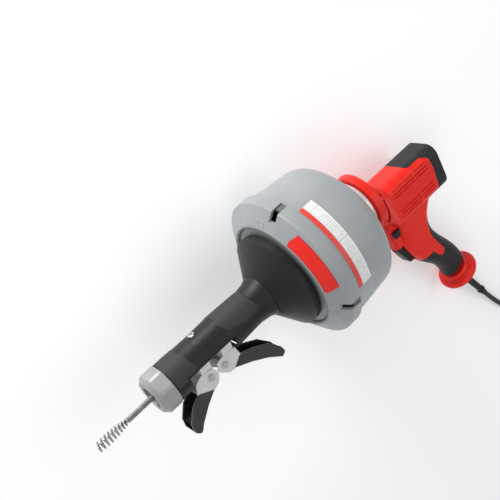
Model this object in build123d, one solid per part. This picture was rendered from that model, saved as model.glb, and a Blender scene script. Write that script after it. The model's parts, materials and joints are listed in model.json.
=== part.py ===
"""Hand-held power drain cleaner: a drum of drain cable driven by an electric drill motor.

Everything is modelled in the machine's own frame, then laid down in its rest pose.
Machine frame: X along the drum axis towards the nose, Y to the machine's left,
Z away from the pistol grip, origin on the drum axis at the big end of the guard cone.
Row frame: the machine lies on its right side on the drum's rim and the grip's guard
flange, Z up from the floor, X along the machine, origin under the middle of its box.
"""

from build123d import *
import math
import os

# Drain cable and the bulb auger at its end
cable_radius = 4.0
cable_back_x = -38.0
cable_front_x = 273.0
bulb_length = 46.0
bulb_turns = 8
bulb_wire_radius = 1.0
bulb_growth = 3.2

# Front handle
nose_x = 230.0
collar_back_x = 204.0
collar_back_radius = 30.5
collar_front_radius = 24.0
collar_bore_radius = 16.3
handle_wall = 3.5
handle_curve = [(30, 33), (40, 29), (54, 27), (80, 28), (110, 29), (150, 28), (188, 29), (204, 29)]
cone_radius = 73.0
cone_wall = 2.5
cone_back_x = -9.0
spigot_radius = 14.0
spigot_back_x = -32.0
guide_outer_radius = 7.0
guide_bore_radius = 5.0

# Feed mechanism in the handle
bay_back_x = 103.0
bay_front_x = 183.0
roller_radius = 6.0
roller_width = 9.0
roller_skew = 18.0
roller_gap = 0.4
axle_radius = 2.0
squeeze_travel = 2.0
spring_radius = 4.4
spring_wire = 0.7
panel_proud = 0.5
advance_roller_x = 157.0
retrieve_roller_x = 119.0
block_radius = 24.0
block_length = 20.0
lever_half_width = 14.0
yoke_plate = 2.6
pivot_radius = 2.8
advance_pivot = (155.0, -31.0)
retrieve_pivot = (130.0, -31.0)

# Drum
lip_radius = 112.5
lip_front_x = -27.0
lip_back_x = -46.0
lip_round = 2.0
face_radius = 84.0
face_x = -8.0
drum_wall = 3.5
rear_front_radius = 108.5
rear_corner_radius = 101.0
rear_corner_x = -124.0
rear_x = -140.0
rear_round = 20.0
bearing_outer_radius = 22.0
bearing_front_x = -12.0
bearing_back_x = -24.0
hub_radius = 45.0
hub_front_x = -140.5
hub_back_x = -167.5
latch_count = 4
latch_angle = -21.5
badge_angle = 22.5
badge_inner_radius = 88.5
badge_outer_radius = 107.0
badge_half_length = 42.0
badge_proud = 0.8
label_angle = 21.5
label_half_width = 64.0
label_front_x = -50.0
label_back_x = -75.0
label_proud = 0.4

rear_outline = [
    (lip_back_x - 0.3, rear_front_radius),
    (rear_corner_x, rear_corner_radius),
    (rear_x, rear_corner_radius - 22),
]

# Drill unit
gear_ring_radius = 47.0
gear_ring_front_x = -168.5
gear_ring_back_x = -181.0
gear_back_x = -190.0
gear_wall_x = -181.0
spindle_bearing_radius = 14.0
armature_bearing_radius = 11.0
bearing_plate_x = -191.5
bearing_plate_thickness = 5.0
motor_front_x = -206.0
motor_back_x = -316.0
motor_half_width = 30.0
motor_top_z = 6.0
motor_bottom_z = -66.0
motor_round = 17.0
shell_wall = 3.0
casing_screws = [(-222.0, -19.4, -84.0), (-228.0, -16.6, -138.0), (-281.0, -24.0, -61.0)]
cap_x = -291.0
cap_front_x = -256.0
louvre_rows = (-6.0, -11.5, -17.0, -40.5, -46.0, -51.5, -57.0)
spindle_radius = 6.0
grip_tilt = 23.0
flange_centre = (-288.0, -222.0)
flange_radius = 33.0
flange_thickness = 15.0
flange_round = 4.5
flange_boss_length = 15.0
flange_boss_radius = 9.0
relief_length = 60.0
relief_radius = 6.2

# Reduction gear
gear_module = 0.8
gear_teeth = 64
pinion_teeth = 11
pressure_angle = 25.0
gear_addendum = 0.8
gear_dedendum = 1.15
gear_backlash = 0.12
motor_axis_z = -gear_module * (gear_teeth + pinion_teeth) / 2

# Power cord, in the row frame: straight out of the grip, down to the floor, and into the coil
cord_radius = 4.0
coil_centre = (-406.1, 269.7)
coil_outer_turn = 56.0
coil_turn_step = 8.0
coil_start_angle = 36.87
coil_end_angle = 180.0
coil_whole_turns = 5
cord_route = [
    (-308.5, 201.3, 13.1),
    (-318.6, 226.6, 6.5),
    (-331.8, 253.8, 4.0),
    (-345.3, 280.3, 4.0),
    (-361.3, 303.3, 4.0),
]
tail_route = [
    (-462.1, 269.7, 12.4),
    (-460.6, 246.0, 10.0),
    (-457.0, 222.0, 10.0),
    (-452.5, 199.0, 12.5),
]
plug_length = 40.0
plug_width = 31.0
plug_height = 25.0
blade_spacing = 12.7
blade_length = 17.0

# Clearances
running = 0.05
gap = 0.5
far = 400.0


# ---------------------------------------------------------------- helpers


def face_of(points, rounds=()):
    """A planar face from 3-D points; rounds holds (point number, radius) pairs."""
    face = Face(Wire.make_polygon([Vector(*p) for p in points], close=True))
    for number, radius in rounds:
        corner = face.vertices().sort_by_distance(Vector(*points[number]))[0]
        face = face.fillet_2d(radius, [corner])
    return face


def turned(points, rounds=()):
    """A solid turned about the machine axis from (x, radius) points."""
    return revolve(face_of([(x, r, 0) for x, r in points], rounds), Axis.X)


def plate(points, low_y, high_y, rounds=()):
    """A flat plate from (x, z) points, standing between two Y values."""
    face = face_of([(x, low_y, z) for x, z in points], rounds)
    return extrude(face, amount=high_y - low_y, dir=(0, 1, 0))


def rod(start, end, radius):
    """A round bar between two points."""
    start = Vector(*start)
    end = Vector(*end)
    base = Plane(origin=start, z_dir=end - start)
    return extrude(base * Circle(radius), amount=(end - start).length)


def ring(x_low, x_high, outer, inner, z=0.0):
    """A round ring along X, centred at the height z."""
    sleeve = Plane(origin=(x_low, 0, z), z_dir=(1, 0, 0)) * (Circle(outer) - Circle(inner))
    return extrude(sleeve, amount=x_high - x_low)


def block(x_low, x_high, y_low, y_high, z_low, z_high):
    """A box between six values."""
    middle = ((x_low + x_high) / 2, (y_low + y_high) / 2, (z_low + z_high) / 2)
    return Pos(*middle) * Box(x_high - x_low, y_high - y_low, z_high - z_low)


def rounded_bar(x_low, x_high, half_width, z_low, z_high, radius):
    """A bar along X with a rounded rectangular section."""
    base = Plane(origin=(x_low, 0, (z_low + z_high) / 2), x_dir=(0, 1, 0), z_dir=(1, 0, 0))
    section = base * RectangleRounded(2 * half_width, z_high - z_low, radius)
    return extrude(section, amount=x_high - x_low)


def screw(place, direction, head_radius, length, shank_radius=1.8):
    """A pan-head screw: a domed head with a cross recess, and its shank."""
    head = Cylinder(head_radius, 2.4, align=(Align.CENTER, Align.CENTER, Align.MIN))
    head = fillet(head.edges().sort_by(Axis.Z)[-1], 1.1)
    for turn in (0, 90):
        head -= Rot(0, 0, turn) * Pos(0, 0, 2.2) * Box(head_radius * 1.1, 0.9, 1.6)
    shank = Pos(0, 0, -length) * Cylinder(shank_radius, length, align=(Align.CENTER, Align.CENTER, Align.MIN))
    return Plane(origin=place, z_dir=direction).location * (head + shank)


def both_halves(solid):
    """The left and the right half of a casing, split on its middle plane."""
    left = solid & block(-far, far, 0, far, -far, far)
    right = solid & block(-far, far, -far, 0, -far, far)
    return left, right


def group(solids):
    """Several separate solids in one node."""
    return Compound(children=[Part(solid.wrapped) for solid in solids])


parts = {}
outermost = ["bulb_auger", "rear_cap", "strain_relief", "drum_front_shell", "drum_rear_shell", "guard_flange",
             "advance_lever_grip", "housing_left", "nose_collar"]


# ---------------------------------------------------------------- cable


def build_cable():
    """The wound cable and its bulb-shaped auger."""
    start_radius = cable_radius - bulb_wire_radius + 0.6
    core_radius = start_radius - bulb_wire_radius - running
    cable = rod((cable_back_x, 0, 0), (cable_front_x, 0, 0), cable_radius)
    parts["drain_cable"] = cable + rod((cable_front_x, 0, 0), (cable_front_x + 12, 0, 0), core_radius)
    pitch = bulb_length / bulb_turns
    cone = math.degrees(math.atan(bulb_growth / bulb_length))
    path = Helix(pitch, bulb_length, start_radius, cone_angle=cone)
    profile = Plane(origin=path @ 0, z_dir=path % 0) * Circle(bulb_wire_radius)
    wire = sweep(profile, path=path, is_frenet=True)
    start_x = cable_front_x + bulb_wire_radius + running
    parts["bulb_auger"] = Plane(origin=(start_x, 0, 0), z_dir=(1, 0, 0)).location * wire


# ---------------------------------------------------------------- drum


def latch_places():
    """The angles of the latches round the drum's rim."""
    return [latch_angle + 360.0 / latch_count * n for n in range(latch_count)]


def face_height(radius):
    """The x of the front shell's sloping face at a radius."""
    share = (radius - face_radius) / (lip_radius - face_radius)
    return face_x + (lip_front_x - face_x) * share


def rear_radius(x):
    """The outer radius of the rear shell's tapering side at x."""
    (front_x, front_radius), (back_x, back_radius) = rear_outline[:2]
    return front_radius + (back_radius - front_radius) * (x - front_x) / (back_x - front_x)


def build_drum():
    """The two drum shells, the cable cartridge between them and what is fixed on them."""
    front_outer = [
        (lip_back_x, lip_radius),
        (lip_front_x, lip_radius),
        (face_x, face_radius),
        (bearing_front_x - 2, face_radius - 2),
        (bearing_front_x, bearing_outer_radius + 4),
        (bearing_front_x, bearing_outer_radius),
        (bearing_back_x, bearing_outer_radius),
        (bearing_back_x, bearing_outer_radius + 4),
        (bearing_front_x - 2 - drum_wall, face_radius - 2 - drum_wall),
        (face_x - drum_wall, face_radius),
        (lip_front_x - drum_wall, lip_radius - drum_wall),
        (lip_back_x, lip_radius - drum_wall),
    ]
    front = turned(front_outer, [(1, 3.5), (2, 3.0), (0, lip_round)])
    notch = block(lip_back_x - 1, lip_front_x + 9, lip_radius - 13.5, lip_radius + 5, -5.5, 5.5)
    tab = block(lip_back_x + 0.2, lip_front_x - 6, lip_radius - 6.5, lip_radius - 2.0, -4.6, 4.6)
    tab = fillet(tab.edges().filter_by(Axis.X), 1.2)
    tabs = []
    for angle in latch_places():
        front -= Rot(angle, 0, 0) * notch
        tabs.append(Rot(angle, 0, 0) * tab)
    inner_x = face_height(badge_inner_radius)
    outer_x = face_height(badge_outer_radius)
    badge_face = turned([(inner_x - 0.2, badge_inner_radius), (outer_x - 0.2, badge_outer_radius),
                         (outer_x + badge_proud, badge_outer_radius + 0.4),
                         (inner_x + badge_proud, badge_inner_radius + 0.4)])
    half = badge_half_length
    badge_bar = block(-30, 0, badge_inner_radius * 0.88, badge_outer_radius + 5, -half, half)
    badge_bar = fillet(badge_bar.edges().filter_by(Axis.X), 9.0)
    badge = badge_face & (Rot(badge_angle, 0, 0) * badge_bar)
    badge -= front
    parts["drum_front_shell"] = front
    parts["latch_tabs"] = group(tabs)
    parts["model_badge"] = badge

    rear_outer = rear_outline + [
        (rear_x, hub_radius - 12),
        (rear_x + drum_wall, hub_radius - 12),
        (rear_x + drum_wall, rear_corner_radius - 23.5),
        (rear_corner_x + 1.5, rear_corner_radius - drum_wall),
        (lip_back_x - 0.3, rear_front_radius - drum_wall),
    ]
    rear = turned(rear_outer, [(1, rear_round), (2, 8.0), (6, rear_round - drum_wall)])
    parts["drum_rear_shell"] = rear

    bearing = ring(bearing_back_x, bearing_front_x, bearing_outer_radius, spigot_radius + running)
    parts["front_bearing"] = bearing
    hub = turned(
        [
            (rear_x - gap + 0.5, hub_radius),
            (hub_back_x, hub_radius - 3),
            (hub_back_x, spindle_radius),
            (rear_x + drum_wall + 8, spindle_radius),
            (rear_x + drum_wall + 8, 20),
            (rear_x + drum_wall, 24),
            (rear_x + drum_wall, hub_radius - 12),
            (rear_x, hub_radius - 12),
        ],
        [(1, 3.0)],
    )
    parts["hub_collar"] = hub

    cage = turned(
        [
            (-40.0, 50.0),
            (-40.0, 96.0),
            (-52.0, 99.0),
            (-118.0, 93.0),
            (-128.0, 82.0),
            (-128.0, 24.5),
            (-125.5, 24.5),
            (-125.5, 80.0),
            (-117.0, 90.5),
            (-53.0, 96.5),
            (-42.5, 94.0),
            (-42.5, 50.0),
        ]
    )
    parts["inner_drum"] = cage
    coil = turned([(-48.0, 56.0), (-48.0, 90.0), (-56.0, 94.0), (-112.0, 88.0), (-118.0, 80.0), (-118.0, 56.0)],
                  [(0, 4.0), (1, 4.0), (5, 4.0)])
    parts["cable_coil"] = coil
    bolts = []
    for angle in (60, 150, 240, 330):
        place = Vector(rear_x - 0.0, 0, 0) + Vector(0, 62, 0).rotate(Axis.X, angle)
        bolts.append(screw(tuple(place), (-1, 0, 0), 5.0, 9.0, 2.2))
    holes = bolts[0]
    for bolt in bolts[1:]:
        holes += bolt
    parts["drum_rear_shell"] = rear - holes
    parts["inner_drum"] = cage - holes
    parts["drum_bolts"] = holes


# ---------------------------------------------------------------- handle


def grip_tube(inset):
    """The outer form of the front handle, drawn in by inset all round."""
    profile = [(x, r - inset) for x, r in handle_curve]
    tube = turned([(profile[0][0], 0)] + profile + [(profile[-1][0], 0)])
    z = inset
    under = [(99, -60), (99, -21 + z), (66, -18.5 + z), (46, -24 + z), (36, -34 + z), (36, -60)]
    return tube - plate(under, -far, far)


def roller_places(x, side):
    """Centre, axis and outward direction of each roller round the cable at x."""
    reach = cable_radius + roller_radius + roller_gap
    places = []
    for angle in (30, 150, 270):
        travel = squeeze_travel if angle == 270 else 0
        a = math.radians(angle)
        outward = Vector(0, math.cos(a), math.sin(a))
        centre = Vector(x, 0, 0) + outward * (reach + travel)
        across = Vector(0, -math.sin(a), math.cos(a))
        tilt = math.radians(roller_skew * side)
        axis = Vector(1, 0, 0) * math.cos(tilt) + across * math.sin(tilt)
        places.append((centre, axis, outward))
    return places


def build_handle():
    """The handle casing, its guard cone, nose collar, spigot and guides."""
    shell = grip_tube(0) - grip_tube(handle_wall)
    shell += ring(handle_curve[0][0], handle_curve[0][0] + 4, 30, spigot_radius)
    shell -= block(bay_back_x, bay_front_x, -40, 40, -40, 0)
    shell -= rod((142, 0, 0), (142, 0, 40), 3.0)
    shell -= rod((142, 0, 27.5), (142, 0, 40), 5.6)
    left, right = both_halves(shell)
    parts["handle_shell_left"] = left
    parts["handle_shell_right"] = right

    cone = turned(
        [
            (cone_back_x, cone_radius),
            (2, cone_radius),
            (handle_curve[0][0], handle_curve[0][1] + 1.0),
            (handle_curve[0][0], handle_curve[0][1] - 3.0),
            (handle_curve[0][0] - cone_wall, handle_curve[0][1] - 3.0),
            (0, cone_radius - cone_wall),
            (cone_back_x, cone_radius - cone_wall),
        ]
    )
    for turn in range(8):
        rib = plate([(1, 70.5), (27, 32), (27, 26), (1, 60)], -1, 1)
        cone += Rot(turn * 45.0, 0, 0) * rib
    cone += ring(handle_curve[0][0] - cone_wall, handle_curve[0][0], handle_curve[0][1] - 3.0, guide_outer_radius)
    cone += ring(spigot_back_x, handle_curve[0][0] + 12, spigot_radius, guide_outer_radius)
    parts["guard_cone"] = cone
    parts["guide_tube"] = ring(spigot_back_x, bay_back_x + 2, guide_outer_radius, guide_bore_radius)

    bush_back = advance_roller_x + block_length / 2 + 2
    bush = ring(bush_back, collar_back_x - 4, 9.0, guide_bore_radius)
    bush += ring(collar_back_x - 8, collar_back_x - 4, 29 - handle_wall - 0.0, guide_bore_radius)
    parts["nose_bush"] = bush
    collar = turned(
        [
            (collar_back_x, collar_back_radius),
            (nose_x - 7, collar_back_radius),
            (nose_x, collar_front_radius),
            (nose_x, collar_bore_radius),
            (nose_x - 12, collar_bore_radius - 1.5),
            (collar_back_x - 4, collar_bore_radius - 1.5),
            (collar_back_x - 4, 29 - handle_wall),
            (collar_back_x, 29 - handle_wall),
        ],
        [(0, 1.0)],
    )
    octagon = Plane(origin=(collar_back_x - 10, 0, 0), z_dir=(1, 0, 0)) * RegularPolygon(31.4, 8, rotation=22.5)
    collar &= extrude(octagon, amount=60)
    parts["nose_collar"] = collar

    head = Cylinder(5.2, 3.4, align=(Align.CENTER, Align.CENTER, Align.MIN))
    head = fillet(head.edges().sort_by(Axis.Z)[-1], 1.6)
    head -= Pos(0, 0, 2.0) * extrude(RegularPolygon(2.4, 6), amount=2)
    bolt = Pos(142, 0, 27.5) * head + rod((142, 0, 14), (142, 0, 27.8), 2.9)
    parts["handle_bolt"] = bolt

    advance_block, axles = build_feed("advance", advance_roller_x, 1)
    retrieve_block, more_axles = build_feed("retrieve", retrieve_roller_x, -1)
    parts["roller_blocks"] = group([advance_block, retrieve_block])
    return axles + more_axles


def build_feed(name, x, side):
    """One set of three skewed rollers, two on fixed axles and one on a sliding carriage."""
    half = block_length / 2 - 1.5
    places = roller_places(x, side)
    body = ring(x - half, x + half, block_radius, guide_bore_radius + 0.4)
    body -= block(x - half - 1, x + half + 1, -15.5, 15.5, -40, -11.5)
    body -= block(x - half - 1, x + half + 1, -8.2, 8.2, -40, 0)
    axles = []
    for number, (centre, axis, outward) in enumerate(places):
        low = centre - axis * (roller_width / 2 + 0.4)
        high = centre + axis * (roller_width / 2 + 0.4)
        roller = rod(tuple(centre - axis * roller_width / 2), tuple(centre + axis * roller_width / 2), roller_radius)
        roller -= rod(tuple(low), tuple(high), axle_radius + running)
        roller = chamfer(roller.edges().filter_by(GeomType.CIRCLE).group_by(SortBy.RADIUS)[-1], 0.8)
        pocket = rod(tuple(low), tuple(high), roller_radius + 0.7)
        axle = rod(tuple(centre - axis * 7.0), tuple(centre + axis * 7.0), axle_radius)
        if number < 2:
            body -= pocket
            body -= axle
            axles.append(axle)
            parts[f"{name}_roller_{number + 1}"] = roller
        else:
            parts[f"{name}_roller_3"] = roller
            carriage = block(x - half + 0.5, x + half - 0.5, -7.6, 7.6, -24.0, centre.Z + 3.0)
            carriage -= rod(tuple(low), tuple(high), roller_radius + 0.7)
            carriage -= rod((x - 20, 0, 0), (x + 20, 0, 0), cable_radius + squeeze_travel + 1.5)
            carriage -= axle
            parts[f"{name}_carriage"] = group([carriage, axle])
    return body, axles


def lever_frame(pivot, forward):
    """Turns (along, down) offsets from a lever's pivot into machine (x, z)."""
    return lambda along, down: (pivot[0] + forward * along, pivot[1] - down)


def build_lever(name, pivot, forward):
    """A hand lever: a forked yoke on its pivot pin and a dipped channel grip."""
    at = lever_frame(pivot, forward)
    if forward > 0:
        cheek = [at(-8, -9), at(10, -13), at(22, -8), at(28, 6), at(8, 19), at(-5, 14), at(-13, 2)]
        outer = [at(4, 17), at(26, 5), at(44, 16), at(57, 33), at(59, 47), at(52, 56), at(42, 45), at(24, 30)]
        inner = [at(0, 10), at(25, -4), at(47, 13), at(61, 31), at(60, 44), at(55, 50), at(43, 39), at(25, 25)]
    else:
        cheek = [at(-9, -9), at(12, -14), at(24, -10), at(26, 4), at(20, 17), at(0, 15), at(-12, 4)]
        outer = [at(8, 15), at(24, 4), at(45, 12), at(66, 24), at(81, 43), at(84, 54), at(76, 58), at(58, 43), at(36, 29)]
        inner = [at(4, 8), at(22, -4), at(47, 8), at(69, 22), at(82, 40), at(82, 50), at(76, 52), at(58, 37), at(36, 23)]
    half = lever_half_width
    grip = plate(outer, -half, half, [(len(outer) // 2, 4.0), (len(outer) // 2 + 1, 4.0)])
    grip = chamfer(grip.faces().sort_by(Axis.Y)[-1].outer_wire().edges(), 1.2)
    grip = chamfer(grip.faces().sort_by(Axis.Y)[0].outer_wire().edges(), 1.2)
    grip -= plate(inner, -half + 2.6, half - 2.6)
    yoke = plate(cheek, -half + 0.4, half - 0.4, [(1, 3.0), (4, 3.0), (6, 4.0)])
    yoke -= plate([at(-40, -40), at(40, -40), at(34, 2), at(14, 15), at(-40, 15)], -half + 3.0, half - 3.0)
    yoke -= rod((pivot[0], -30, pivot[1]), (pivot[0], 30, pivot[1]), pivot_radius + running)
    yoke -= grip
    parts[f"{name}_lever_yoke"] = yoke
    parts[f"{name}_lever_grip"] = grip
    pin = rod((pivot[0], -half - 2, pivot[1]), (pivot[0], half + 2, pivot[1]), pivot_radius)
    for end in (-1, 1):
        pin += rod((pivot[0], end * (half + 0.4), pivot[1]), (pivot[0], end * (half + 2.6), pivot[1]), 4.4)
    return pin


# ---------------------------------------------------------------- drill unit


def grip_direction():
    """Unit vector down the pistol grip, in machine coordinates."""
    tilt = math.radians(grip_tilt)
    return Vector(-math.sin(tilt), 0, -math.cos(tilt))


def grip_form(inset):
    """The pistol grip: a loft through rounded sections given by front and back points."""
    sections = [
        ((-203, -58), (-288, -58), 25, 14),
        ((-204, -97), (-265, -104), 20, 14),
        ((-213, -130), (-272, -128), 19, 15),
        ((-232, -158), (-285, -151), 19, 16),
        ((-262, -212), (-303, -195), 18, 16),
    ]
    faces = []
    for front, back, half_width, radius in sections:
        front = Vector(front[0], 0, front[1])
        back = Vector(back[0], 0, back[1])
        along = back - front
        normal = along.cross(Vector(0, 1, 0))
        base = Plane(origin=(front + back) * 0.5, x_dir=along, z_dir=normal)
        depth = along.length - 2 * inset
        width = 2 * (half_width - inset)
        faces.append(base * RectangleRounded(depth, width, radius - inset))
    return loft(faces)


def build_drill():
    """The drill unit: casing halves, gear housing, rear cap, grip and the parts inside."""
    body = rounded_bar(motor_back_x, motor_front_x, motor_half_width, motor_bottom_z, motor_top_z, motor_round)
    hollow = rounded_bar(
        motor_back_x + shell_wall, motor_front_x + 1, motor_half_width - shell_wall,
        motor_bottom_z + shell_wall, motor_top_z - shell_wall, motor_round - shell_wall,
    )
    grip = grip_form(0)
    casing = (body + grip) - hollow - grip_form(shell_wall)
    cap_zone = plate(
        [(cap_front_x, 40), (cap_front_x, motor_top_z - 1), (cap_front_x - 6, motor_top_z - 3.5),
         (cap_x + 6, motor_top_z - 3.5), (cap_x - 6, motor_top_z - 10), (cap_x - 8, motor_top_z - 30),
         (cap_x - 3, motor_bottom_z - 3), (-400, motor_bottom_z - 3), (-400, 40)],
        -far, far, [(3, 8.0), (4, 8.0)],
    )
    parts["rear_cap"] = (rounded_bar(motor_back_x, motor_front_x, motor_half_width, motor_bottom_z, motor_top_z,
                                     motor_round) - hollow) & cap_zone
    rubber_zone = plate(
        [(-400, motor_bottom_z - 3), (-276, motor_bottom_z - 3), (-257, -92), (-254, -118), (-261, -140),
         (-268, -156), (-260, -163), (-252, -156), (-246, -144), (-226, -146), (-200, -160), (-200, -260), (-400, -260)],
        -far, far, [(3, 12.0), (5, 5.0), (6, 5.0), (8, 6.0)],
    )
    grip_shell = (grip - grip_form(shell_wall) - body) & rubber_zone
    parts["grip_overmould"] = grip_shell
    casing -= cap_zone
    casing -= rubber_zone
    slot = block(-232, -190, -9.5, 9.5, -138, -98)
    casing -= slot
    for z in louvre_rows:
        for side in (-1, 1):
            for x_low, x_high in ((-289, -262), (-258, -214)):
                y = side * motor_half_width
                casing -= block(x_low, x_high, y - 1.6, y + 1.6, z - 1.1, z + 1.1)
    screws = [screw((x, y, z), (0, -1, 0), 3.4, 10.0) for x, y, z in casing_screws]
    for fastener in screws:
        casing -= fastener
    parts["housing_screws"] = group(screws)
    left, right = both_halves(casing)
    parts["housing_left"] = left.solids().sort_by(SortBy.VOLUME)[-1]
    parts["housing_right"] = right.solids().sort_by(SortBy.VOLUME)[-1]

    build_gear_housing()
    build_gears()
    build_motor()
    build_controls()
    build_grip_end()


def build_gear_housing():
    """The round gear housing between the drum and the motor casing."""
    front = turned(
        [
            (gear_ring_front_x, hub_radius + 1.5),
            (gear_ring_front_x - 3, gear_ring_radius),
            (gear_ring_back_x, gear_ring_radius),
            (gear_ring_back_x, 0),
            (gear_ring_front_x, 0),
        ],
        [(1, 2.0)],
    )
    start = Plane(origin=(gear_ring_back_x, 0, 0), z_dir=(-1, 0, 0), x_dir=(0, 1, 0))
    middle_z = (motor_top_z + motor_bottom_z) / 2
    end = Plane(origin=(motor_front_x, 0, middle_z), z_dir=(-1, 0, 0), x_dir=(0, 1, 0))
    height = motor_top_z - motor_bottom_z
    cover_width = 2 * gear_ring_radius - 4
    inner_width = cover_width - 2 * shell_wall
    cover = loft([start * RectangleRounded(cover_width, cover_width, cover_width / 2 - 0.5),
                  end * RectangleRounded(2 * motor_half_width, height, motor_round)])
    inner = loft([start * RectangleRounded(inner_width, inner_width, inner_width / 2 - 0.5),
                  end * RectangleRounded(2 * (motor_half_width - shell_wall), height - 2 * shell_wall, motor_round - shell_wall)])
    web = block(motor_front_x, -187, -19, 19, -96, -44)
    web = chamfer(web.edges().filter_by(Axis.Z), 4)
    whole = front + cover + web
    whole -= inner
    whole -= rod((gear_ring_back_x - 1, 0, 0), (gear_wall_x, 0, 0), inner_width / 2 - 1)
    whole -= rod((gear_ring_front_x + 1, 0, 0), (gear_wall_x - 1, 0, 0), spindle_bearing_radius)
    whole -= block(motor_front_x - 1, -192, -15, 15, -97, -60)
    whole -= block(-203, -190, -30, 30, -73.5, -64.5)
    whole -= grip_form(0)
    for side in (-1, 1):
        near = min(side * 28, side * 60)
        whole -= block(-188.5, -184.5, near, near + 32, -42, 4)
        whole -= block(-187, -183.5, near, near + 32, 9, 14)
    parts["gear_housing"] = whole


def gear_blank(teeth, x_low, x_high, z, phase):
    """A straight-toothed involute gear on an axis parallel to the machine's."""
    pitch_r = gear_module * teeth / 2
    base_r = pitch_r * math.cos(math.radians(pressure_angle))
    tip_r = pitch_r + gear_addendum * gear_module
    root_r = pitch_r - gear_dedendum * gear_module
    half_tooth = (math.pi * gear_module / 2 - gear_backlash) / 2 / pitch_r

    def involute(radius):
        ratio = max(radius / base_r, 1.0)
        angle = math.acos(1 / ratio)
        return math.tan(angle) - angle

    flank = [root_r] + [max(base_r, root_r) + (tip_r - max(base_r, root_r)) * n / 5 for n in range(6)]
    if base_r <= root_r:
        flank = flank[1:]
    points = []
    for tooth in range(teeth):
        centre = phase + 2 * math.pi * tooth / teeth
        widths = [half_tooth + involute(pitch_r) - involute(r) for r in flank]
        for r, w in zip(flank, widths):
            points.append((x_low, r * math.cos(centre - w), z + r * math.sin(centre - w)))
        for r, w in zip(reversed(flank), reversed(widths)):
            points.append((x_low, r * math.cos(centre + w), z + r * math.sin(centre + w)))
    return extrude(face_of(points), amount=x_high - x_low, dir=(1, 0, 0))


def build_gears():
    """The drum spindle and its gear, and the plate that carries their rear bearings."""
    down = -math.pi / 2
    gear = gear_blank(gear_teeth, gear_back_x + 0.5, gear_wall_x - 1.0, 0.0, down)
    gear -= rod((gear_back_x, 0, 0), (gear_wall_x, 0, 0), spindle_radius)
    for turn in range(6):
        gear -= Rot(turn * 60, 0, 0) * rod((-200, 15, 0), (-170, 15, 0), 4.0)
    parts["spindle_gear"] = gear
    plate_back = bearing_plate_x - bearing_plate_thickness
    parts["drum_spindle"] = rod((plate_back, 0, 0), (hub_front_x + 10, 0, 0), spindle_radius)
    carrier = rod((plate_back, 0, 0), (bearing_plate_x, 0, 0), 15.0)
    carrier += rod((plate_back, 0, motor_axis_z), (bearing_plate_x, 0, motor_axis_z), 14.2)
    carrier += block(plate_back, bearing_plate_x, -31, 31, motor_axis_z + 4, motor_axis_z + 14)
    carrier -= rod((-200, 0, motor_axis_z), (-190, 0, motor_axis_z), armature_bearing_radius)
    carrier -= rod((-200, 0, 0), (-190, 0, 0), 9.5)
    parts["bearing_plate"] = carrier
    z = motor_axis_z
    bearings = [
        ring(gear_wall_x, gear_ring_front_x - 2.5, spindle_bearing_radius, spindle_radius + running),
        ring(plate_back, bearing_plate_x, 9.5, spindle_radius + running),
        ring(plate_back, bearing_plate_x, armature_bearing_radius, 4.0 + running, z),
        ring(-310, -303, armature_bearing_radius, 4.0 + running, z),
    ]
    parts["ball_bearings"] = group(bearings)


def build_motor():
    """The universal motor: stator, armature with fan and commutator, and brushes."""
    z = motor_axis_z
    phase = math.pi / 2 + math.pi / pinion_teeth
    pinion = gear_blank(pinion_teeth, gear_back_x, gear_wall_x - 0.8, z, phase)
    parts["armature_shaft"] = pinion + rod((-310, 0, z), (gear_back_x, 0, z), 4.0)
    core = ring(-277, -232, 16.5, 4.0, z)
    for turn in range(12):
        core -= Pos(0, 0, z) * Rot(turn * 30, 0, 0) * block(-278, -231, 11.5, 18, -1.0, 1.0)
    parts["armature_core"] = group([core, ring(-300, -288, 10.0, 4.0, z)])
    fan = ring(-228.5, -227, 21.5, 4.0, z) + ring(-228.5, -218, 7.5, 4.0, z)
    for turn in range(9):
        fan += Pos(0, 0, z) * Rot(turn * 40, 0, 0) * block(-227.5, -219, 7.0, 21.0, -0.7, 0.7)
    parts["cooling_fan"] = fan
    stator = ring(-277, -232, 26.0, 17.2, z)
    stator -= block(-280, -230, -30, 30, z - 6, z + 6)
    stator += block(-277, -232, 23.0, 26.9, z - 6.2, z + 6.2)
    stator += block(-277, -232, -26.9, -23.0, z - 6.2, z + 6.2)
    parts["stator"] = stator
    parts["carbon_brushes"] = group([
        block(-297, -291, 10.3, 24, z - 3, z + 3),
        block(-297, -291, -24, -10.3, z - 3, z + 3),
    ])


def build_controls():
    """The trigger, the switch behind it and the direction selector."""
    trigger = plate(
        [(-207, -99), (-198, -100), (-195.5, -108), (-201, -122), (-207, -136), (-214, -137), (-221, -128), (-221, -99)],
        -8.0, 8.0, [(1, 2.5), (2, 3.0), (4, 2.5)],
    )
    trigger += block(-233, -218, -3.0, 3.0, -116, -108)
    parts["trigger"] = trigger
    parts["switch_body"] = plate([(-241, -92), (-256, -92), (-262, -134), (-244, -134)], -11, 11)
    selector = block(-198, -192, -25, 25, -71, -67)
    for side in (-1, 1):
        pad = block(-202, -189, min(side * 19.8, side * 25), max(side * 19.8, side * 25), -74, -64)
        selector += chamfer(pad.edges().filter_by(Axis.Z), 1.2)
    parts["direction_selector"] = selector


def flange_outline():
    """Half the section of the guard flange, as (radius, height down the grip) points."""
    half = flange_thickness / 2
    return [
        (7.0, -half - 4),
        (20.0, -half - 4),
        (22.0, -half),
        (flange_radius, -half + 3),
        (flange_radius, half - 3),
        (22.0, half),
        (7.0, half),
    ]


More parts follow.
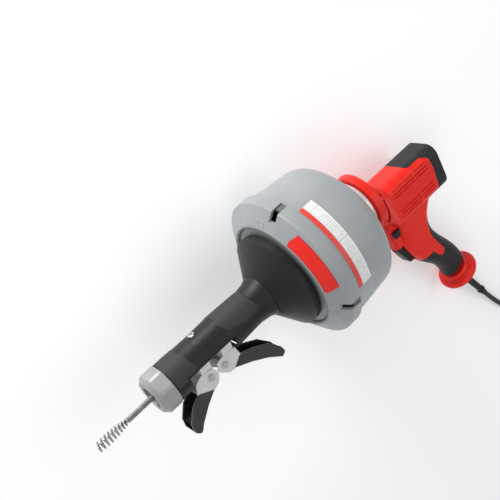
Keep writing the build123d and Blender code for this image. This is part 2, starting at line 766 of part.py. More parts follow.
def build_grip_end():
    """The guard flange at the foot of the grip, and the cord's strain relief."""
    down = grip_direction()
    centre = Vector(flange_centre[0], 0, flange_centre[1])
    base = Plane(origin=centre, z_dir=down)
    half = flange_thickness / 2
    face = face_of([(r, 0, h) for r, h in flange_outline()], [(3, flange_round), (4, flange_round)])
    flange = revolve(face, Axis.Z)
    for height in (-2.6, 2.6):
        groove = Pos(0, 0, height) * Torus(flange_radius + 0.6, 1.5)
        flange -= groove
    flange += Pos(0, 0, half - 1) * Cylinder(flange_boss_radius, flange_boss_length + 1,
                                              align=(Align.CENTER, Align.CENTER, Align.MIN))
    flange -= Cylinder(relief_radius, 4 * flange_thickness)
    flange = base.location * flange
    flange -= grip_form(0)
    parts["guard_flange"] = flange
    relief = Cone(relief_radius, cord_radius + 1.0, relief_length, align=(Align.CENTER, Align.CENTER, Align.MIN))
    relief += Pos(0, 0, relief_length - 9) * Cylinder(cord_radius + 2.6, 2.4)
    root_length = flange_boss_length + flange_thickness
    relief += Pos(0, 0, -root_length) * Cylinder(relief_radius, root_length + 0.1,
                                                 align=(Align.CENTER, Align.CENTER, Align.MIN))
    parts["strain_relief"] = base.location * Pos(0, 0, half + flange_boss_length) * relief


def build_spring(pivot):
    """The torsion spring wound round a lever's pivot pin."""
    path = Helix(1.9, 11.4, spring_radius)
    wire = sweep(Plane(origin=path @ 0, z_dir=path % 0) * Circle(spring_wire), path=path, is_frenet=True)
    return Plane(origin=(pivot[0], -5.7, pivot[1]), z_dir=(0, 1, 0)).location * wire


def build_labels():
    """The blank badge, the ruled label round the drum, and the handle's inset panels."""
    front_radius = rear_radius(label_front_x)
    back_radius = rear_radius(label_back_x)
    band = turned([(label_front_x, front_radius - 0.3), (label_back_x, back_radius - 0.3),
                   (label_back_x, back_radius + label_proud), (label_front_x, front_radius + label_proud)])
    sector = block(label_back_x - 5, label_front_x + 5, 0, 140, -label_half_width, label_half_width)
    parts["side_label"] = (band & (Rot(label_angle, 0, 0) * sector)) - parts["drum_rear_shell"]
    skin = grip_tube(-panel_proud) - grip_tube(0)
    skin -= block(bay_back_x - 2, bay_front_x + 2, -40, 40, -40, 4)
    front = skin & plate([(166, 3), (172, 26), (180, 40), (202, 40), (202, 0), (176, 0)], -far, far, [(0, 4.0), (1, 6.0)])
    rear = skin & plate([(52, 8), (60, 40), (104, 40), (112, 24), (104, 12), (76, 6)], -far, far, [(3, 8.0)])
    parts["thumb_panels"] = group([front, rear])


# ---------------------------------------------------------------- rest pose


def arc_centre(before, corner, after, radius):
    """The centre of the arc that rounds a corner of an outline."""
    corner = Vector(*corner, 0)
    back = (Vector(*before, 0) - corner).normalized()
    ahead = (Vector(*after, 0) - corner).normalized()
    half = math.radians(back.get_angle(ahead)) / 2
    return corner + (back + ahead).normalized() * (radius / math.sin(half))


def support(down, centre, axis, ring_radius, tube_radius):
    """How far a rounded ring reaches along the down direction."""
    lean = down.dot(axis)
    return down.dot(centre) + ring_radius * math.sqrt(1 - lean * lean) + tube_radius


def rest_location():
    """Where the machine settles: on the drum's lip, the drum's rear edge and the flange."""
    machine_axis = Vector(1, 0, 0)
    lip_arc = arc_centre((lip_front_x, lip_radius), (lip_back_x, lip_radius), (lip_back_x, 0), lip_round)
    lip = (Vector(lip_arc.X, 0, 0), machine_axis, lip_arc.Y, lip_round)
    rear_arc = arc_centre(*rear_outline[0:3], rear_round)
    rear_edge = (Vector(rear_arc.X, 0, 0), machine_axis, rear_arc.Y, rear_round)
    rim_arc = arc_centre(*flange_outline()[3:6], flange_round)
    foot = Vector(flange_centre[0], 0, flange_centre[1]) + grip_direction() * rim_arc.Y
    flange = (foot, grip_direction(), rim_arc.X, flange_round)

    def down_at(pitch, roll):
        flat = math.cos(pitch)
        return Vector(math.sin(pitch), -flat * math.sin(roll), -flat * math.cos(roll))

    low, high = math.radians(-30), math.radians(0)
    for _ in range(60):
        pitch = (low + high) / 2
        if support(down_at(pitch, 0), *rear_edge) > support(down_at(pitch, 0), *lip):
            low = pitch
        else:
            high = pitch

    low, high = math.radians(30), math.radians(120)
    for _ in range(60):
        roll = (low + high) / 2
        if support(down_at(pitch, roll), *flange) > support(down_at(pitch, roll), *lip):
            low = roll
        else:
            high = roll
    down = down_at(pitch, roll)
    up = down * -1
    forward = (machine_axis - up * machine_axis.dot(up)).normalized()
    laid_down = Plane(origin=(0, 0, 0), x_dir=forward, z_dir=up).location.inverse()
    return Pos(0, 0, support(down, *lip)) * laid_down


def centred(location):
    """The same pose, with the row's origin under the middle of the machine's box."""
    low = [math.inf] * 3
    high = [-math.inf] * 3
    for name in outermost:
        box = (location * parts[name]).bounding_box()
        low = [min(a, b) for a, b in zip(low, box.min)]
        high = [max(a, b) for a, b in zip(high, box.max)]
    middle = [(a + b) / 2 for a, b in zip(low, high)]
    return Pos(-middle[0], -middle[1], -low[2]) * location


def tube(points, radius):
    """A round tube along straight runs joined by arcs as large as the runs allow."""
    points = [Vector(*p) for p in points]
    radii = []
    for before, here, after in zip(points, points[1:], points[2:]):
        turn = math.radians((here - before).get_angle(after - here))
        shorter = min((here - before).length, (after - here).length)
        radii.append(0.45 * shorter / math.tan(turn / 2))
    print("arc radii", [round(r, 1) for r in radii])
    path = FilletPolyline(*points, radius=radii)
    start = Plane(origin=points[0], z_dir=points[1] - points[0])
    solid = sweep(start * Circle(radius), path=path)
    print("length", round(path.length, 1), "volume share", round(solid.volume / (math.pi * radius**2 * path.length), 4))
    return solid


def build_cord(placed):
    """The power cord on the floor, its put-away coil, its tail and its plug."""
    placed["power_cord"] = tube(cord_route, cord_radius)
    placed["cord_tail"] = tube(tail_route, cord_radius)
    turns = coil_whole_turns + (coil_end_angle - coil_start_angle) / 360
    inner_turn = coil_outer_turn - coil_turn_step * turns / 2
    height = 4 * cord_radius + 0.4
    section = [
        (coil_outer_turn + cord_radius + 0.4, 0, 0),
        (coil_outer_turn + cord_radius + 0.4, 0, height),
        (inner_turn - cord_radius, 0, height),
        (inner_turn - cord_radius, 0, 0),
    ]
    coil = revolve(face_of(section, [(n, cord_radius * 0.9) for n in range(4)]), Axis.Z)
    placed["cord_coil"] = Pos(*coil_centre) * coil
    end = Vector(*tail_route[-1])
    ahead = end - Vector(*tail_route[-2])
    ahead = Vector(ahead.X, ahead.Y, 0).normalized()
    base = Plane(origin=(end.X, end.Y, plug_height / 2), x_dir=ahead.cross(Vector(0, 0, 1)), z_dir=ahead)
    sections = [
        Pos(0, 0, 0) * RectangleRounded(13, 13, 6.3),
        Pos(0, 0, plug_length * 0.42) * RectangleRounded(19, 17, 6.0),
        Pos(0, 0, plug_length * 0.6) * RectangleRounded(29, 22, 7.0),
        Pos(0, 0, plug_length) * RectangleRounded(plug_width, plug_height, 6.0),
    ]
    body = loft(sections[:2]) + loft(sections[1:3]) + loft(sections[2:])
    blades = [
        Pos(side * blade_spacing / 2, 2.0, plug_length + blade_length / 2) * Box(1.5, 6.3, blade_length)
        for side in (-1, 1)
    ]
    earth = Pos(0, -6.5, plug_length) * Cylinder(2.4, blade_length + 2, align=(Align.CENTER, Align.CENTER, Align.MIN))
    placed["plug_body"] = base.location * body
    placed["plug_blades"] = group([base.location * blade for blade in blades + [earth]])


def main():
    build_cable()
    build_drum()
    axles = build_handle()
    advance_pin = build_lever("advance", advance_pivot, 1)
    retrieve_pin = build_lever("retrieve", retrieve_pivot, -1)
    parts["handle_pins"] = group(axles + [advance_pin, retrieve_pin])
    parts["lever_springs"] = group([build_spring(advance_pivot), build_spring(retrieve_pivot)])
    build_drill()
    build_labels()
    rest = centred(rest_location())
    placed = {name: rest * solid for name, solid in parts.items()}
    build_cord(placed)
    os.makedirs("parts", exist_ok=True)
    for name, solid in placed.items():
        export_step(solid, f"parts/{name}.step")


if __name__ == "__main__":
    main()
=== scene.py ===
"""The looks of a hand-held power drain cleaner, lying on its side on a pale floor.

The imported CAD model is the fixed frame. Sizes here are millimetres in the machine's own
frame (X along the drum axis towards the nose, Y to the machine's left, Z away from the
pistol grip), and at() turns them into the row frame in metres.
"""

import json
import math

import bpy
from mathutils import Matrix, Vector


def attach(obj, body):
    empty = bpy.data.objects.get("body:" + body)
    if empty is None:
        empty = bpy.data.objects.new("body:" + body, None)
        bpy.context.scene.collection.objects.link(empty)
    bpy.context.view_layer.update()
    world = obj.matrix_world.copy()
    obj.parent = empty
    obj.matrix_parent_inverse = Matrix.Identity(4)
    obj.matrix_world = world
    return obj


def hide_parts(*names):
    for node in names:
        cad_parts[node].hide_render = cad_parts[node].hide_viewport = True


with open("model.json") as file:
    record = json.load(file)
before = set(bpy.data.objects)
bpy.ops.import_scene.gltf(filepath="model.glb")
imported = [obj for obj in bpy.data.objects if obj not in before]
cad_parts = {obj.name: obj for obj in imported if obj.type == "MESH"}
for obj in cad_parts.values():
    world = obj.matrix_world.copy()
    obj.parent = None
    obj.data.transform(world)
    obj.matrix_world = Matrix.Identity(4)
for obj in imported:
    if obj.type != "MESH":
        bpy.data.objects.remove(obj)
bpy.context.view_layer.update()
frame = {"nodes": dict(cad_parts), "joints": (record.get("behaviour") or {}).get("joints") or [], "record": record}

MM = 0.001
JOINTS = {joint["name"]: joint for joint in frame["joints"]}
ORIGIN = Vector(JOINTS["drum_spin"]["pos_m"])
AXIS_X = Vector(JOINTS["drum_spin"]["axis"]).normalized()
AXIS_Y = -Vector(JOINTS["advance_lever_squeeze"]["axis"]).normalized()
AXIS_Z = AXIS_X.cross(AXIS_Y)


def at(x, y, z):
    """A point of the machine frame, in millimetres, as a point of the row frame."""
    return ORIGIN + (AXIS_X * x + AXIS_Y * y + AXIS_Z * z) * MM


def towards(x, y, z):
    """A direction of the machine frame in the row frame."""
    return (AXIS_X * x + AXIS_Y * y + AXIS_Z * z).normalized()


# ---------------------------------------------------------------- camera, floor and light

CAMERA_EYE = (391.1, 862.6, 562.2)
CAMERA_RIGHT = (-0.6933, 0.5645, -0.4477)
CAMERA_UP = (-0.6258, -0.1639, 0.7624)
CAMERA_LENS = 58.2


def make_camera():
    """The camera, looking down at the machine from its front left."""
    right = towards(*CAMERA_RIGHT)
    back = right.cross(towards(*CAMERA_UP)).normalized()
    up = back.cross(right)
    data = bpy.data.cameras.new("camera")
    data.lens = CAMERA_LENS
    camera = bpy.data.objects.new("camera", data)
    turn = Matrix((right, up, back)).transposed().to_4x4()
    camera.matrix_world = Matrix.Translation(at(*CAMERA_EYE)) @ turn
    bpy.context.scene.collection.objects.link(camera)
    bpy.context.scene.camera = camera
    return right, up, back


def area_light(name, place, target, size, power, colour=(1, 1, 1)):
    """A soft square light that faces a point."""
    data = bpy.data.lights.new(name, "AREA")
    data.energy = power
    data.size = size
    data.color = colour
    light = bpy.data.objects.new(name, data)
    light.location = place
    light.rotation_mode = "QUATERNION"
    light.rotation_quaternion = (Vector(target) - Vector(place)).to_track_quat("-Z", "Y")
    bpy.context.scene.collection.objects.link(light)


def make_studio(right, up, back):
    """A pale floor, an even pale surround and three soft lights placed about the camera."""
    middle = at(-40, 0, 0)
    half = 6.0
    mesh = bpy.data.meshes.new("floor")
    corners = [(-half, -half, 0), (half, -half, 0), (half, half, 0), (-half, half, 0)]
    mesh.from_pydata(corners, [], [(0, 1, 2, 3)])
    floor = bpy.data.objects.new("floor", mesh)
    bpy.context.scene.collection.objects.link(floor)
    floor.data.materials.append(floor_finish())
    world = bpy.data.worlds.new("surround")
    world.use_nodes = True
    world.node_tree.nodes["Background"].inputs["Color"].default_value = (0.97, 0.98, 1.0, 1)
    world.node_tree.nodes["Background"].inputs["Strength"].default_value = 0.55
    bpy.context.scene.world = world
    bpy.context.scene.view_settings.view_transform = "Standard"
    area_light("key_light", middle - right * 0.9 + up * 1.0 + back * 0.7, middle, 0.6, 19)
    area_light("fill_light", middle + right * 1.1 + up * 0.2 + back * 0.8, middle, 0.9, 3)
    area_light("front_light", middle - up * 0.8 + back * 1.2, middle, 0.8, 3)


# ---------------------------------------------------------------- materials


class Finish:
    """A material built on one Principled shader, with short names for its nodes."""

    def __init__(self, name, colour, roughness, **settings):
        self.material = bpy.data.materials.new(name)
        self.material.use_nodes = True
        self.tree = self.material.node_tree
        self.shader = self.tree.nodes["Principled BSDF"]
        self.shader.inputs["Base Color"].default_value = (*colour, 1)
        self.shader.inputs["Roughness"].default_value = roughness
        for socket, value in settings.items():
            self.shader.inputs[socket.replace("_", " ").title().replace("Ior", "IOR")].default_value = value
        self.place = self.tree.nodes.new("ShaderNodeTexCoord").outputs["Object"]
        self.normal = None

    def fill(self, socket, value):
        """Gives a node's input a link or a plain value."""
        if isinstance(value, bpy.types.NodeSocket):
            self.tree.links.new(value, socket)
        elif value is not None:
            socket.default_value = value

    def math(self, operation, first, second=None, third=None):
        node = self.tree.nodes.new("ShaderNodeMath")
        node.operation = operation
        for socket, value in zip(node.inputs, (first, second, third)):
            self.fill(socket, value)
        return node.outputs[0]

    def along(self, direction, start=0.0):
        """Distance along a direction of the machine frame, in millimetres."""
        node = self.tree.nodes.new("ShaderNodeVectorMath")
        node.operation = "DOT_PRODUCT"
        self.fill(node.inputs[0], self.place)
        node.inputs[1].default_value = direction / MM
        return self.math("SUBTRACT", node.outputs["Value"], ORIGIN.dot(direction) / MM + start)

    def from_axis(self):
        """Distance from the drum's axis, in millimetres."""
        y = self.along(AXIS_Y)
        z = self.along(AXIS_Z)
        squares = self.math("ADD", self.math("MULTIPLY", y, y), self.math("MULTIPLY", z, z))
        return self.math("SQRT", squares)

    def about_axis(self):
        """Angle about the drum's axis, in radians from the machine's left towards its top."""
        return self.math("ARCTAN2", self.along(AXIS_Z), self.along(AXIS_Y))

    def noise(self, scale, detail=3.0, rough=0.5):
        node = self.tree.nodes.new("ShaderNodeTexNoise")
        self.fill(node.inputs["Vector"], self.place)
        node.inputs["Scale"].default_value = scale
        node.inputs["Detail"].default_value = detail
        node.inputs["Roughness"].default_value = rough
        return node.outputs[0]

    def cells(self, scale):
        node = self.tree.nodes.new("ShaderNodeTexVoronoi")
        self.fill(node.inputs["Vector"], self.place)
        node.inputs["Scale"].default_value = scale
        return node.outputs["Distance"]

    def blend(self, share, first, second):
        """A colour between two, either of them a link or three numbers."""
        node = self.tree.nodes.new("ShaderNodeMix")
        node.data_type = "RGBA"
        self.fill(node.inputs["Factor"], share)
        colours = [s for s in node.inputs if s.type == "RGBA"]
        for socket, value in zip(colours, (first, second)):
            self.fill(socket, value if isinstance(value, bpy.types.NodeSocket) else (*value, 1))
        return next(s for s in node.outputs if s.type == "RGBA")

    def between(self, value, low, high, out_low=0.0, out_high=1.0):
        node = self.tree.nodes.new("ShaderNodeMapRange")
        numbers = (value, low, high, out_low, out_high)
        for socket, number in zip(node.inputs, numbers):
            self.fill(socket, number)
        return node.outputs[0]

    def band(self, value, low, high):
        """1 where the value is between two numbers, and 0 outside them."""
        above = self.math("GREATER_THAN", value, low)
        return self.math("MULTIPLY", above, self.math("LESS_THAN", value, high))

    def paint(self, colour):
        self.fill(self.shader.inputs["Base Color"], colour)

    def rough(self, value):
        self.fill(self.shader.inputs["Roughness"], value)

    def round_edges(self, radius):
        """Softens sharp edges by radius millimetres, as a mould does."""
        node = self.tree.nodes.new("ShaderNodeBevel")
        node.samples = 5
        node.inputs["Radius"].default_value = radius * MM
        self.normal = node.outputs[0]
        self.fill(self.shader.inputs["Normal"], self.normal)
        return node.outputs[0]

    def bump(self, height, depth):
        """Raises the surface by the height's value times depth millimetres."""
        node = self.tree.nodes.new("ShaderNodeBump")
        node.inputs["Distance"].default_value = depth * MM
        self.fill(node.inputs["Height"], height)
        self.fill(node.inputs["Normal"], self.normal)
        self.normal = node.outputs[0]
        self.fill(self.shader.inputs["Normal"], self.normal)

    def edge_mask(self, radius):
        """Rises towards 1 on sharp edges, where handling wears a surface."""
        soft = self.tree.nodes.new("ShaderNodeBevel")
        soft.samples = 3
        soft.inputs["Radius"].default_value = radius * MM
        true = self.tree.nodes.new("ShaderNodeNewGeometry").outputs["Normal"]
        dot = self.tree.nodes.new("ShaderNodeVectorMath")
        dot.operation = "DOT_PRODUCT"
        self.fill(dot.inputs[0], soft.outputs[0])
        self.fill(dot.inputs[1], true)
        return self.between(dot.outputs["Value"], 0.995, 0.86)


def shaded(colour, share):
    """A colour made lighter (above 1) or darker (below 1)."""
    return tuple(min(1.0, c * share) for c in colour)


def moulded(
    name, colour, roughness, grain=900.0, depth=0.02, spread=0.08, wear=0.25, edge=0.7, **settings
):
    """A moulded plastic or rubber: soft edges, fine grain, slight blotches and worn edges."""
    f = Finish(name, colour, roughness, **settings)
    f.round_edges(edge)
    blotch = f.noise(22.0, 4.0, 0.6)
    base = f.blend(blotch, shaded(colour, 1 - spread), shaded(colour, 1 + spread))
    edge_tone = f.math("MULTIPLY", f.edge_mask(0.5), f.between(f.noise(160.0), 0.35, 0.75, 0.0, wear))
    f.paint(f.blend(edge_tone, base, shaded(colour, 1.9)))
    smear = f.noise(60.0, 5.0, 0.65)
    f.rough(f.between(smear, 0.3, 0.7, roughness - 0.06, roughness + 0.08))
    f.bump(f.noise(grain, 2.0), depth)
    return f.material


TURNING_RATE = 9.0


def metal(name, colour, roughness, brush=None, metallic=1.0, wear=0.5, depth=0.02):
    """A metal with a fine grain, which runs round the machine's axis where the metal is turned."""
    f = Finish(name, colour, roughness, metallic=metallic)
    f.round_edges(0.35)
    stain = f.noise(45.0, 4.0, 0.6)
    base = f.blend(f.between(stain, 0.35, 0.8), shaded(colour, 1.04), shaded(colour, 1 - 0.35 * wear))
    f.paint(base)
    f.rough(f.between(f.noise(140.0, 4.0), 0.3, 0.7, roughness - 0.07, roughness + 0.1))
    if brush == "turned":
        path = f.math("ADD", f.from_axis(), f.along(AXIS_X))
        groove = f.math("SINE", f.math("MULTIPLY", path, TURNING_RATE))
        f.bump(f.math("ADD", groove, f.noise(700.0)), depth)
    else:
        f.bump(f.noise(1100.0, 3.0), depth)
    return f.material


def floor_finish():
    """The pale, slightly mottled studio floor."""
    f = Finish("studio_floor", (0.95, 0.95, 0.95), 0.8)
    f.paint(f.blend(f.noise(3.0), (0.94, 0.94, 0.94), (0.96, 0.96, 0.96)))
    f.shader.inputs["Emission Color"].default_value = (1, 1, 1, 1)
    f.shader.inputs["Emission Strength"].default_value = 0.16
    return f.material


RIB_GROUPS = ((75.0, 111.0), (-54.0, -24.0))
RIB_STEP = 6.0
RIB_SHIFT = 357.0
RIB_SIDE_SHARES = (0.22, 0.36)
RIB_MIDDLE_RADIUS = 88.0
RIB_HALF_LENGTH = 8.5
RIB_END_SLOPE = 1.0
RIB_BACK_X = -40.0
RIB_HEIGHT = 0.9


def raised_ribs(f):
    """1 on two groups of short plain radial ribs on the drum's front face, and 0 elsewhere."""
    angle = f.math("DEGREES", f.about_axis())
    away = f.math("ABSOLUTE", f.math("SUBTRACT", f.from_axis(), RIB_MIDDLE_RADIUS))
    ends = f.between(away, RIB_HALF_LENGTH, RIB_HALF_LENGTH + RIB_END_SLOPE, 1.0, 0.0)
    groups = f.math("ADD", f.band(angle, *RIB_GROUPS[0]), f.band(angle, *RIB_GROUPS[1]))
    place = f.math("FRACT", f.math("DIVIDE", f.math("ADD", angle, RIB_SHIFT), RIB_STEP))
    across = f.math("ABSOLUTE", f.math("SUBTRACT", place, 0.5))
    sides = f.between(across, *RIB_SIDE_SHARES, 1.0, 0.0)
    front = f.math("GREATER_THAN", f.along(AXIS_X), RIB_BACK_X)
    return f.math("MULTIPLY", f.math("MULTIPLY", ends, sides), f.math("MULTIPLY", groups, front))


def drum_plastic():
    """Grey blow-moulded plastic with a slight cloudiness."""
    f = Finish("drum_grey", (0.30, 0.315, 0.32), 0.42)
    f.round_edges(0.9)
    cloud = f.noise(14.0, 6.0, 0.62)
    base = f.blend(f.between(cloud, 0.3, 0.7), (0.275, 0.29, 0.297), (0.34, 0.355, 0.362))
    scuff = f.math("MULTIPLY", f.edge_mask(0.8), f.between(f.noise(120.0), 0.4, 0.7, 0.0, 0.45))
    f.paint(f.blend(scuff, base, (0.55, 0.56, 0.57)))
    f.rough(f.between(f.noise(50.0, 5.0), 0.3, 0.7, 0.36, 0.52))
    f.bump(f.math("ADD", f.noise(420.0, 3.0), f.noise(26.0)), 0.05)
    f.bump(raised_ribs(f), RIB_HEIGHT)
    return f.material


# Painted shade: nearer the drum axis than the first radius the cable is painted near black, fading out by the
# second.
CABLE_GROOVE_SHADE_RADII = (3.0, 3.8)


def wound_steel():
    """Oily spring steel wire, darker where the oil lies, with painted shade in the grooves between its turns and
    on the core inside them.
    """
    f = Finish("cable_steel", (0.42, 0.41, 0.39), 0.34, metallic=1.0)
    oil = f.between(f.noise(90.0, 5.0, 0.65), 0.35, 0.75)
    steel = f.blend(oil, (0.50, 0.49, 0.47), (0.24, 0.23, 0.21))
    # Painted shade: the grooves between the wire's turns and the core inside them are painted near black by their
    # distance from the axis.
    groove = f.between(f.from_axis(), *CABLE_GROOVE_SHADE_RADII, 1.0, 0.0)
    f.paint(f.blend(groove, steel, (0.05, 0.047, 0.042)))
    f.rough(f.between(f.noise(200.0), 0.3, 0.7, 0.3, 0.5))
    f.bump(f.noise(1500.0), 0.01)
    return f.material


LABEL_RADIUS = 107.0
LABEL_ROW = 1.7
LABEL_COLUMN = 27.0
LABEL_RULED_X = (-73.5, -59.5)
LABEL_LINE_X = (-58.4, -57.8)
LABEL_RED_X = -57.4


def ruled_label():
    """A white film label with a red edge band, ruled panels and plain grey rules."""
    white = (0.80, 0.80, 0.78)
    red = (0.72, 0.05, 0.035)
    ink = (0.33, 0.34, 0.36)
    f = Finish("label_white", white, 0.38)
    x = f.along(AXIS_X)
    arc = f.math("MULTIPLY", f.about_axis(), LABEL_RADIUS)
    row = f.math("FRACT", f.math("DIVIDE", x, LABEL_ROW))
    column = f.math("FRACT", f.math("DIVIDE", f.math("ADD", arc, 200.0), LABEL_COLUMN))
    rules = f.math("MULTIPLY", f.band(row, 0.35, 0.68), f.band(column, 0.09, 0.9))
    rules = f.math("MULTIPLY", rules, f.band(x, *LABEL_RULED_X))
    broken = f.math("GREATER_THAN", f.noise(330.0, 1.0), 0.44)
    rules = f.math("MULTIPLY", rules, broken)
    panel = f.math("ADD", f.band(column, 0.0, 0.03), f.band(x, *LABEL_LINE_X))
    marks = f.math("MINIMUM", f.math("ADD", f.math("MULTIPLY", rules, 0.75), panel), 1.0)
    printed = f.blend(marks, white, ink)
    f.paint(f.blend(f.math("GREATER_THAN", x, LABEL_RED_X), printed, red))
    f.bump(f.noise(300.0), 0.01)
    return f.material


def badge_gloss():
    """A blank red badge with a darker edge line and a glossy face."""
    f = Finish("badge_red", (0.80, 0.015, 0.008), 0.3, specular_ior_level=0.4)
    f.round_edges(0.8)
    # The badge is painted darker along its rounded edges.
    edge_tone = f.edge_mask(1.2)
    base = f.blend(f.noise(40.0), (0.76, 0.012, 0.008), (0.84, 0.02, 0.012))
    f.paint(f.blend(edge_tone, base, (0.35, 0.008, 0.005)))
    f.bump(f.noise(500.0), 0.01)
    return f.material


def stippled(name, colour):
    """A thumb panel's close stipple, with painted highlight on its raised dots and painted shade in the hollows
    between them.
    """
    f = Finish(name, colour, 0.62)
    dots = f.between(f.cells(950.0), 0.1, 0.55, 1.0, 0.0)
    # Painted highlight and painted shade: the raised dot tops are painted lighter and the hollows between them
    # darker.
    f.paint(f.blend(dots, shaded(colour, 0.75), shaded(colour, 1.25)))
    f.bump(dots, 0.12)
    return f.material


def make_materials():
    """One finish for each material slot of the record."""
    return {
        "red_nylon": moulded("red_nylon", (0.80, 0.017, 0.008), 0.36, wear=0.08, spread=0.05,
                             specular_ior_level=0.3),
        "black_rubber": moulded("black_rubber", (0.017, 0.0175, 0.018), 0.5, grain=1300.0, depth=0.05,
                                specular_ior_level=0.3),
        "black_nylon": moulded("black_nylon", (0.011, 0.0115, 0.0115), 0.42, spread=0.15,
                               specular_ior_level=0.3),
        "grey_nylon": stippled("grey_nylon", (0.026, 0.0265, 0.026)),
        "drum_grey": drum_plastic(),
        "inner_black": moulded("inner_black", (0.045, 0.045, 0.045), 0.5),
        "collar_grey": metal("collar_grey", (0.33, 0.335, 0.34), 0.45, metallic=0.25, wear=0.2,
                             depth=0.03),
        "latch_rubber": moulded("latch_rubber", (0.11, 0.11, 0.105), 0.45, wear=0.8),
        "badge_red": badge_gloss(),
        "label_white": ruled_label(),
        "hub_silver": metal("hub_silver", (0.78, 0.78, 0.78), 0.33, brush="turned", metallic=0.6, wear=0.15),
        "lever_zinc": metal("lever_zinc", (0.66, 0.66, 0.67), 0.36, metallic=0.15, wear=0.3),
        "dipped_vinyl": moulded("dipped_vinyl", (0.012, 0.012, 0.012), 0.16, grain=120.0, depth=0.04,
                                spread=0.2, wear=0.0, edge=3.2, coat_weight=0.7),
        "cable_steel": wound_steel(),
        "bright_steel": metal("bright_steel", (0.62, 0.62, 0.61), 0.25, wear=0.4),
        "motor_iron": metal("motor_iron", (0.16, 0.15, 0.14), 0.5, wear=0.6),
        "fan_nylon": moulded("fan_nylon", (0.09, 0.09, 0.09), 0.5),
        "carbon": moulded("carbon", (0.02, 0.02, 0.02), 0.6),
        "cord_jacket": moulded("cord_jacket", (0.022, 0.022, 0.023), 0.46, grain=700.0, spread=0.12,
                               wear=0.1),
        "brass": metal("brass", (0.66, 0.50, 0.22), 0.28, wear=0.3),
    }


def dress_cad_nodes(materials):
    """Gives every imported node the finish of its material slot."""
    for entry in frame["record"]["subparts"]:
        node = frame["nodes"][entry["node"]]
        for slot in node.material_slots:
            slot.material = materials[entry["material_slot"]]


# ---------------------------------------------------------------- mesh helpers


def piece_from(name, points, faces, body, material, smooth=True):
    """A mesh piece from machine-frame points, which rides on a body."""
    mesh = bpy.data.meshes.new(name)
    mesh.from_pydata([at(*p) for p in points], [], faces)
    mesh.polygons.foreach_set("use_smooth", [smooth] * len(mesh.polygons))
    mesh.update()
    piece = bpy.data.objects.new(name, mesh)
    bpy.context.scene.collection.objects.link(piece)
    mesh.materials.append(material)
    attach(piece, body)
    return piece


def add_wire(points, faces, line, radius, sides):
    """Adds a closed round wire along a line of points to the lists of a mesh."""
    line = [Vector(p) for p in line]
    first = len(points)
    side = (line[1] - line[0]).orthogonal().normalized()
    for number, centre in enumerate(line):
        ahead = (line[min(number + 1, len(line) - 1)] - line[max(number - 1, 0)]).normalized()
        side = (side - ahead * side.dot(ahead)).normalized()
        across = ahead.cross(side)
        for step in range(sides):
            turn = 2 * math.pi * step / sides
            points.append(centre + (side * math.cos(turn) + across * math.sin(turn)) * radius)
    for number in range(len(line) - 1):
        for step in range(sides):
            a = first + number * sides + step
            b = first + number * sides + (step + 1) % sides
            faces.append((a, b, b + sides, a + sides))
    last = first + (len(line) - 1) * sides
    faces.append(tuple(reversed(range(first, first + sides))))
    faces.append(tuple(range(last, last + sides)))


# ---------------------------------------------------------------- cable and auger

CABLE_RADIUS = 4.0
CABLE_BACK_X = -38.0
CABLE_FRONT_X = 273.0
CABLE_PITCH = 2.4
BULB_FRONT_X = 320.0
BULB_WIDEST = 6.7
BULB_WIDEST_SHARE = 0.72
BULB_DRAW_IN = 1.1
HOOK_STEPS = 8
HOOK_TURN = 0.16
HOOK_RISE = 0.12
HOOK_DRAW_IN = 0.42
BULB_WIRE = 1.15
BULB_TURNS = 9.0


def wound_cable(materials):
    """The drain cable's straight end: close-wound wire on a core."""
    points = []
    faces = []
    steps = 14
    mean = CABLE_RADIUS - CABLE_PITCH / 2
    turns = (CABLE_FRONT_X - CABLE_BACK_X - CABLE_PITCH) / CABLE_PITCH
    line = []
    for number in range(int(turns * steps) + 1):
        turn = 2 * math.pi * number / steps
        x = CABLE_BACK_X + CABLE_PITCH / 2 + CABLE_PITCH * number / steps
        line.append((x, mean * math.cos(turn), mean * math.sin(turn)))
    add_wire(points, faces, line, CABLE_PITCH / 2, 7)
    core = [(CABLE_BACK_X + 0.5 + n * 20, 0, 0) for n in range(16)]
    add_wire(points, faces, core, mean, 16)
    cable = piece_from("wound_drain_cable", points, faces, "cable", materials["cable_steel"])
    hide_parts("drain_cable")


def bulb_radius(share):
    """The bulb's mean radius along its length: it swells, then draws in a little."""
    start = CABLE_RADIUS - BULB_WIRE
    swell = math.sin(min(share / BULB_WIDEST_SHARE, 1.0) * math.pi / 2)
    past = max(0.0, (share - BULB_WIDEST_SHARE) / (1 - BULB_WIDEST_SHARE))
    return start + (BULB_WIDEST - start) * swell - BULB_DRAW_IN * past ** 1.5


def bulb_auger(materials):
    """The open wire bulb at the cable's tip, ending in a hook."""
    points = []
    faces = []
    line = []
    steps = 26
    count = int(BULB_TURNS * steps)
    back = CABLE_FRONT_X - BULB_WIRE
    length = BULB_FRONT_X - BULB_WIRE - back
    for number in range(count + 1):
        share = number / count
        turn = 2 * math.pi * number / steps
        radius = bulb_radius(share)
        x = back + length * share ** 1.15
        line.append((x, radius * math.cos(turn), radius * math.sin(turn)))
    final = 2 * math.pi * BULB_TURNS
    for number in range(1, HOOK_STEPS + 1):
        turn = final + number * HOOK_TURN
        radius = bulb_radius(1.0) - HOOK_DRAW_IN * number
        x = BULB_FRONT_X - BULB_WIRE - HOOK_RISE * number
        line.append((x, radius * math.cos(turn), radius * math.sin(turn)))
    add_wire(points, faces, line, BULB_WIRE, 10)
    auger = piece_from("wire_bulb_auger", points, faces, "cable", materials["cable_steel"])
    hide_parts("bulb_auger")


# ---------------------------------------------------------------- power cord

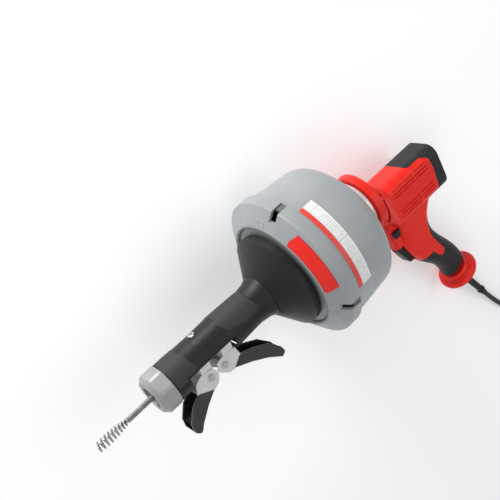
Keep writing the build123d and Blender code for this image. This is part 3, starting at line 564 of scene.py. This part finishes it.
CORD_DIAMETER = 0.008
CORD_ROUTE = [
    (-308.5, 201.3, 13.1),
    (-318.6, 226.6, 6.5),
    (-331.8, 253.8, 4.0),
    (-345.3, 280.3, 4.0),
    (-361.3, 303.3, 4.0),
]
CORD_TAIL = [
    (-462.1, 269.7, 12.4),
    (-460.6, 246.0, 10.0),
    (-457.0, 222.0, 10.0),
    (-452.5, 199.0, 12.5),
]
COIL_CENTRE = (-406.1, 269.7)
COIL_OUTER_TURN = 56.0
COIL_STEP = 8.0
COIL_START = 36.87
COIL_TURNS = 5 + (180.0 - 36.87) / 360.0
COIL_POINTS = 16


def coil_points():
    """The coil: a spiral inwards on the floor, then back outwards on top of it."""
    points = []
    count = int(COIL_TURNS * COIL_POINTS)
    half = COIL_TURNS / 2
    for number in range(1, count):
        turns = COIL_TURNS * number / count
        radius = COIL_OUTER_TURN - COIL_STEP * (half - abs(half - turns))
        angle = math.radians(COIL_START + 360.0 * turns)
        rise = min(max((turns - half + 0.15) / 0.3, 0.0), 1.0)
        z = 4.0 + 8.4 * rise
        x = COIL_CENTRE[0] + radius * math.cos(angle)
        y = COIL_CENTRE[1] + radius * math.sin(angle)
        points.append((x, y, z))
    return points


def power_cord(materials):
    """The mains cord from its strain relief to its plug."""
    points = CORD_ROUTE + coil_points() + CORD_TAIL
    data = bpy.data.curves.new("power_cord_line", "CURVE")
    data.dimensions = "3D"
    data.bevel_depth = CORD_DIAMETER / 2
    data.bevel_resolution = 6
    data.resolution_u = 6
    data.use_fill_caps = True
    spline = data.splines.new("NURBS")
    spline.points.add(len(points) - 1)
    for point, place in zip(spline.points, points):
        point.co = (*(value * MM for value in place), 1)
    spline.order_u = 3
    spline.use_endpoint_u = True
    cord = bpy.data.objects.new("mains_cord", data)
    bpy.context.scene.collection.objects.link(cord)
    data.materials.append(materials["cord_jacket"])
    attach(cord, "drill")
    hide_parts("power_cord", "cord_coil", "cord_tail")


# ---------------------------------------------------------------- the whole

right, up, back = make_camera()
make_studio(right, up, back)
materials = make_materials()
dress_cad_nodes(materials)
wound_cable(materials)
bulb_auger(materials)
power_cord(materials)
